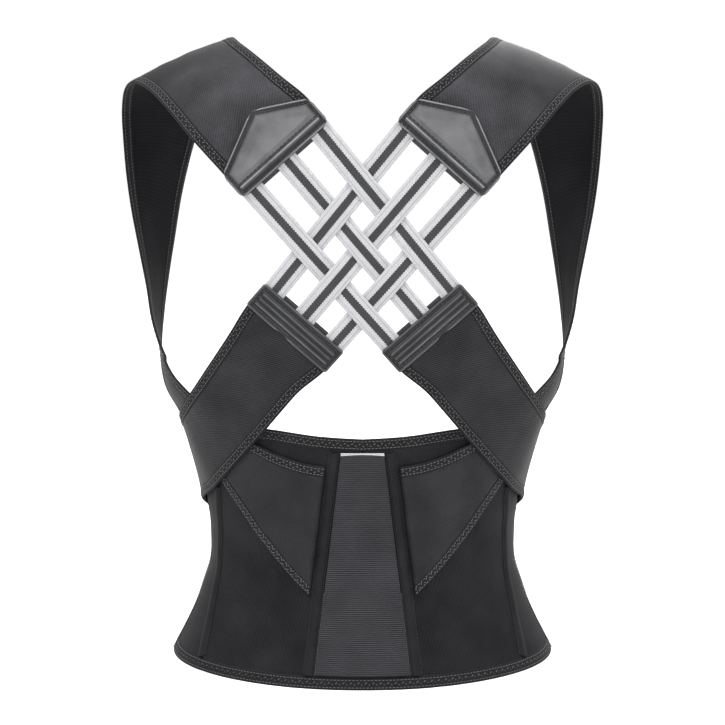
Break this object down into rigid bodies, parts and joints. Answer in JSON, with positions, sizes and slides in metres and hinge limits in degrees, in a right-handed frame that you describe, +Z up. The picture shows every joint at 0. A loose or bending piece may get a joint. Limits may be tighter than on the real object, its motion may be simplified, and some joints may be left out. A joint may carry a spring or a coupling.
{
  "type": "back brace",
  "caption": "Posture-correcting back brace: boned waist belt with wrap-over front, padded shoulder straps joined by woven elastic bands on the upper back, and pull straps.",
  "frame": {"origin": "middle of the brace's outline, at the height of the hem it stands on", "axes": "+Z up along the wearer's spine, +Y the way the wearer faces, +X towards the wearer's right"},
  "size_m": [0.4182, 0.2486, 0.5373],
  "materials": {
    "black_knit": "matte laminated knit",
    "ribbed_elastic": "matte ribbed elastic",
    "binding_tape": "matte woven tape",
    "black_leather": "grained imitation leather",
    "striped_webbing": "silver-grey woven elastic with a dark middle stripe",
    "spring_steel": "plain spring steel",
    "hook_and_loop": "napped"
  },
  "bodies": {
    "back_and_harness": {"spine_panel": "ribbed_elastic", "hem_binding_back": "binding_tape", "top_binding_back": "binding_tape", "back_panel_left": "black_knit", "back_panel_right": "black_knit", "side_panel_left": "black_knit", "side_panel_right": "black_knit", "spine_stay_tube_left": "binding_tape", "spine_stay_tube_right": "binding_tape", "spine_stay_left": "spring_steel", "spine_stay_right": "spring_steel", "side_stay_tube_left": "binding_tape", "side_stay_tube_right": "binding_tape", "side_stay_left": "spring_steel", "side_stay_right": "spring_steel", "anchor_band_left": "black_knit", "anchor_band_right": "black_knit", "anchor_band_upper_binding_left": "binding_tape", "anchor_band_upper_binding_right": "binding_tape", "anchor_band_lower_binding_left": "binding_tape", "anchor_band_lower_binding_right": "binding_tape", "shoulder_strap_left": "black_knit", "shoulder_strap_right": "black_knit", "shoulder_strap_arm_binding_left": "binding_tape", "shoulder_strap_arm_binding_right": "binding_tape", "shoulder_strap_neck_binding_left": "binding_tape", "shoulder_strap_neck_binding_right": "binding_tape", "upper_patch_left": "black_leather", "upper_patch_right": "black_leather", "upper_patch_backing_left": "black_leather", "upper_patch_backing_right": "black_leather", "lower_patch_left": "black_leather", "lower_patch_right": "black_leather", "lower_patch_backing_left": "black_leather", "lower_patch_backing_right": "black_leather", "pull_strap_left": "black_knit", "pull_strap_right": "black_knit", "pull_strap_upper_binding_left": "binding_tape", "pull_strap_upper_binding_right": "binding_tape", "pull_strap_lower_binding_left": "binding_tape", "pull_strap_lower_binding_right": "binding_tape", "band_left_1": "striped_webbing", "band_left_2": "striped_webbing", "band_left_3": "striped_webbing", "band_right_1": "striped_webbing", "band_right_2": "striped_webbing", "band_right_3": "striped_webbing"},
    "left_wing": {"front_wing_left": "black_knit", "front_binding_left": "binding_tape", "hook_pad": "hook_and_loop", "pull_strap_front_left": "black_knit"},
    "right_wing": {"front_wing_right": "black_knit", "front_binding_right": "binding_tape", "loop_pad": "hook_and_loop", "pull_strap_front_right": "black_knit"},
    "left_pull_end": {"pull_strap_end_left": "black_knit", "pull_strap_hooks_left": "hook_and_loop"},
    "right_pull_end": {"pull_strap_end_right": "black_knit", "pull_strap_hooks_right": "hook_and_loop"}
  },
  "joints": [
    {"name": "left_wing_swing", "type": "hinge", "parent": "back_and_harness", "child": "left_wing", "pos_m": [-0.1686, 0, 0.1], "axis": [0, 0, 1], "range_deg": [0, 110]},
    {"name": "right_wing_swing", "type": "hinge", "parent": "back_and_harness", "child": "right_wing", "pos_m": [0.1686, 0, 0.1], "axis": [0, 0, -1], "range_deg": [0, 56]},
    {"name": "left_pull_end_peel", "type": "hinge", "parent": "left_wing", "child": "left_pull_end", "pos_m": [-0.12861, 0.03806, 0.11418], "axis": [-0.1288, 0.0403, 0.9909], "range_deg": [0, 90]},
    {"name": "right_pull_end_peel", "type": "hinge", "parent": "right_wing", "child": "right_pull_end", "pos_m": [0.12861, 0.03806, 0.11418], "axis": [-0.1288, -0.0403, -0.9909], "range_deg": [0, 90]}
  ],
  "couplings": [
    {"joint": "right_wing_swing", "follows": "left_wing_swing", "ratio": 0.5}
  ]
}
